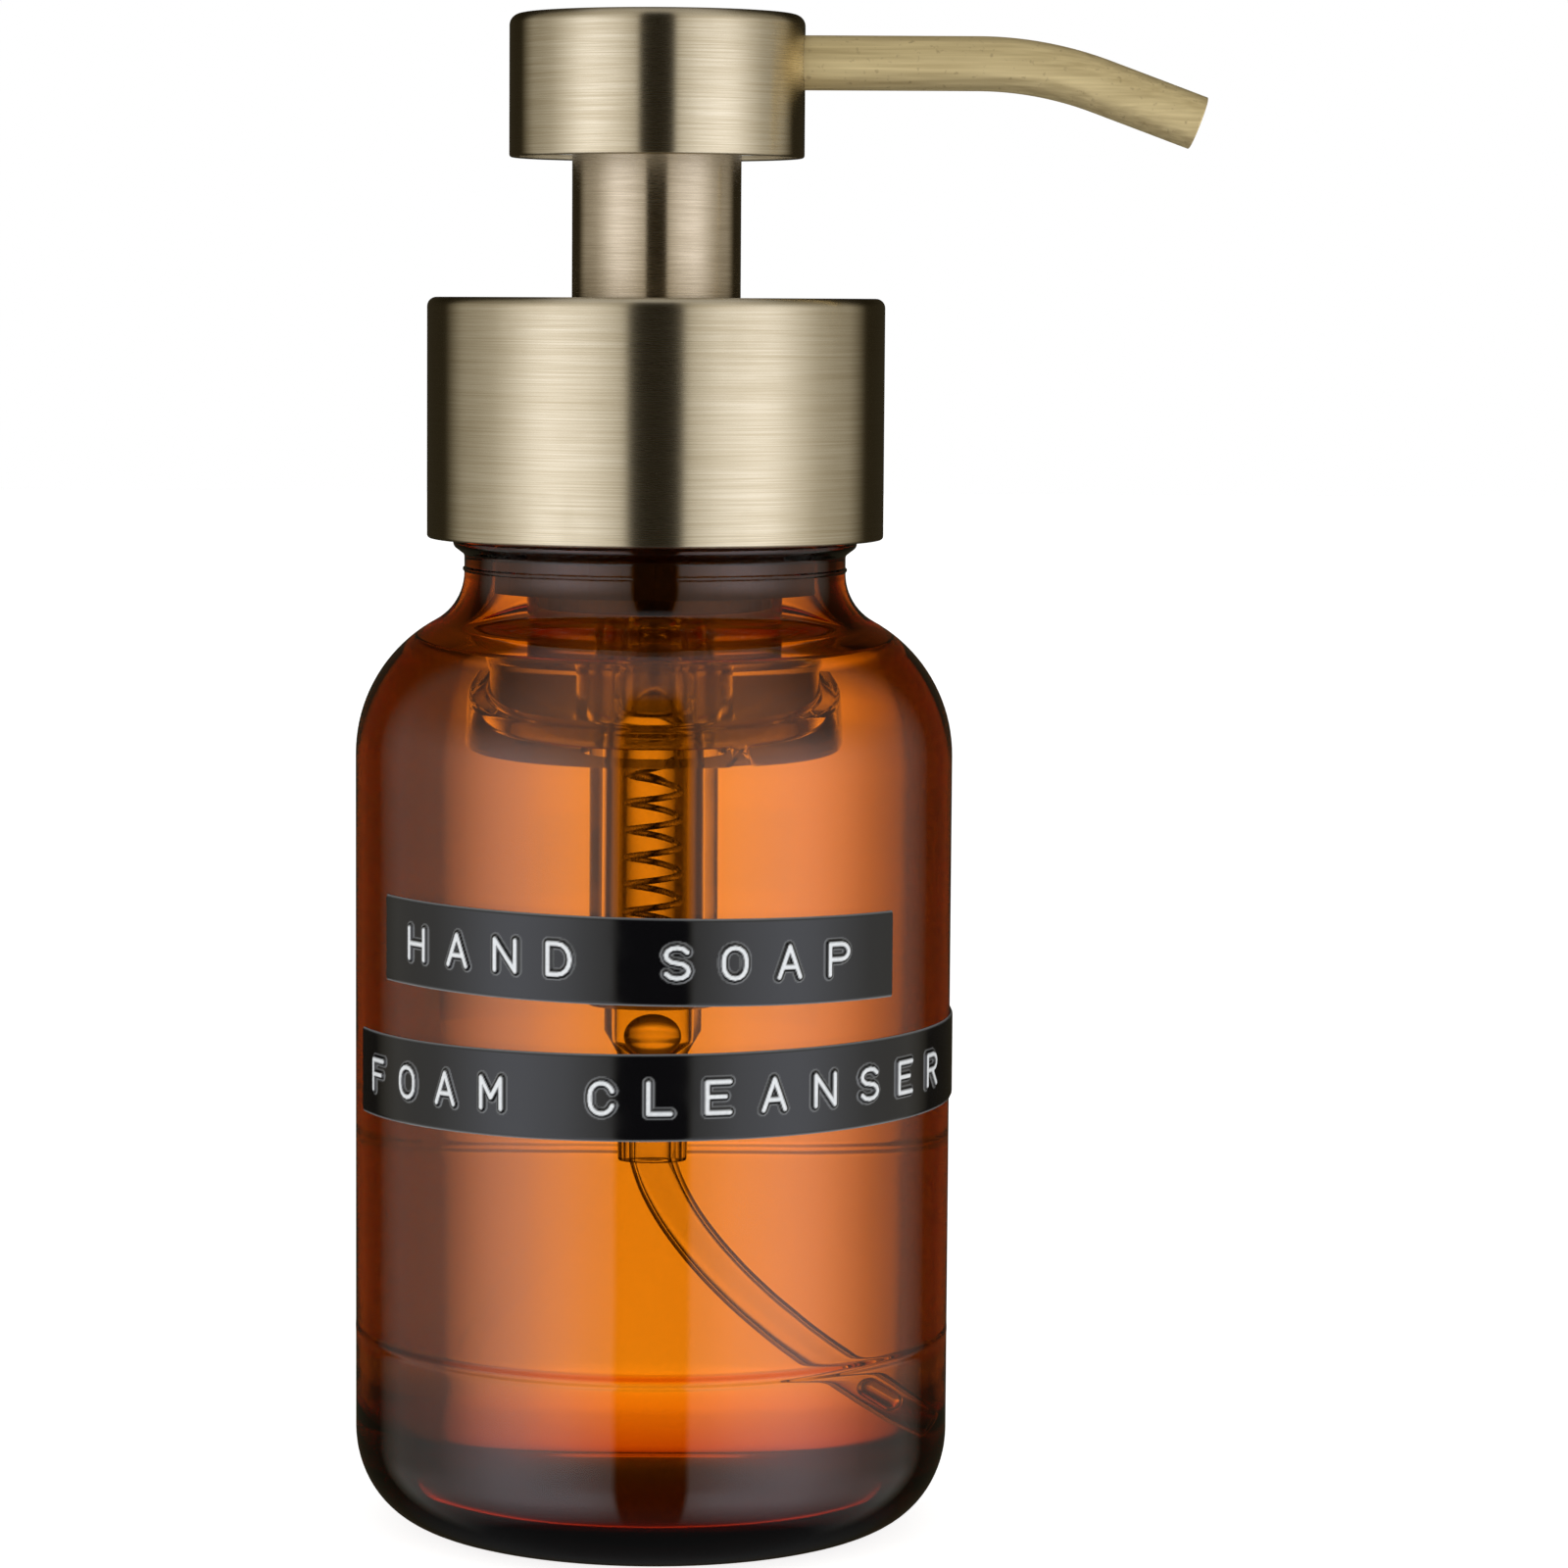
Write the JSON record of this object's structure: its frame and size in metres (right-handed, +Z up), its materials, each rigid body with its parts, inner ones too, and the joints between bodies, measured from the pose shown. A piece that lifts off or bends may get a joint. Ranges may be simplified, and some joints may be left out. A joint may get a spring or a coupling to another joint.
{
  "type": "foaming soap dispenser",
  "caption": "Round amber glass bottle with a screw-on brushed brass foam pump: press head, bent spout, spring return, dip tube and two wrap-around label strips.",
  "frame": {"origin": "centre of the bottle's flat base, on the pump's axis", "axes": "+Z up along the pump's axis, +X along the spout at rest, -Y towards the front where the labels face"},
  "size_m": [0.0905, 0.0645, 0.1616],
  "materials": {
    "amber_glass": "gloss",
    "brushed_brass": "circular brushed, antique",
    "spout_brass": "satin",
    "label_tape": "gloss with white embossing",
    "closure_plastic": "moulded",
    "clear_plastic": "translucent moulded",
    "white_plastic": "moulded",
    "seal_rubber": "soft",
    "spring_steel": "polished wire",
    "valve_glass": "polished balls"
  },
  "bodies": {
    "bottle": {"bottle": "amber_glass", "label_upper": "label_tape", "label_lower": "label_tape"},
    "pump_body": {"pump_cylinder": "clear_plastic", "neck_gasket": "seal_rubber", "guide_collar": "white_plastic", "valve_housing": "clear_plastic", "spring_seat": "white_plastic", "return_spring": "spring_steel", "dip_tube": "clear_plastic"},
    "closure": {"closure_shell": "brushed_brass", "closure_cap": "closure_plastic"},
    "inlet_valve": {"inlet_ball": "valve_glass"},
    "plunger": {"liquid_piston": "clear_plastic", "piston_rod": "clear_plastic", "air_piston": "closure_plastic", "air_valve": "seal_rubber"},
    "outlet_valve": {"outlet_ball": "valve_glass"},
    "head": {"head_shell": "brushed_brass", "head_core": "white_plastic", "stem_sleeve": "brushed_brass", "nozzle_tube": "spout_brass", "nozzle_liner": "white_plastic", "foam_chamber": "white_plastic", "mesh_lower": "clear_plastic", "mesh_upper": "clear_plastic"}
  },
  "joints": [
    {"name": "pump_lift", "type": "slide", "parent": "bottle", "child": "pump_body", "axis": [0, 0, 1], "range_m": [0, 0.00425]},
    {"name": "closure_turn", "type": "hinge", "parent": "pump_body", "child": "closure", "pos_m": [0, 0, 0.115], "axis": [0, 0, 1], "range_deg": [0, 360]},
    {"name": "inlet_ball_lift", "type": "slide", "parent": "pump_body", "child": "inlet_valve", "axis": [0, 0, 1], "range_m": [0, 0.0012]},
    {"name": "plunger_press", "type": "slide", "parent": "pump_body", "child": "plunger", "axis": [0, 0, 1], "range_m": [-0.013, 0], "stiffness_N_per_m": 700, "springref_m": 0.012, "deforming": ["return_spring"]},
    {"name": "outlet_ball_lift", "type": "slide", "parent": "plunger", "child": "outlet_valve", "axis": [0, 0, 1], "range_m": [0, 0.0012]},
    {"name": "head_swivel", "type": "hinge", "parent": "plunger", "child": "head", "pos_m": [0, 0, 0.14], "axis": [0, 0, 1], "continuous": true}
  ],
  "couplings": [
    {"joint": "pump_lift", "follows": "closure_turn", "m_per_rad": 0.00067322}
  ]
}
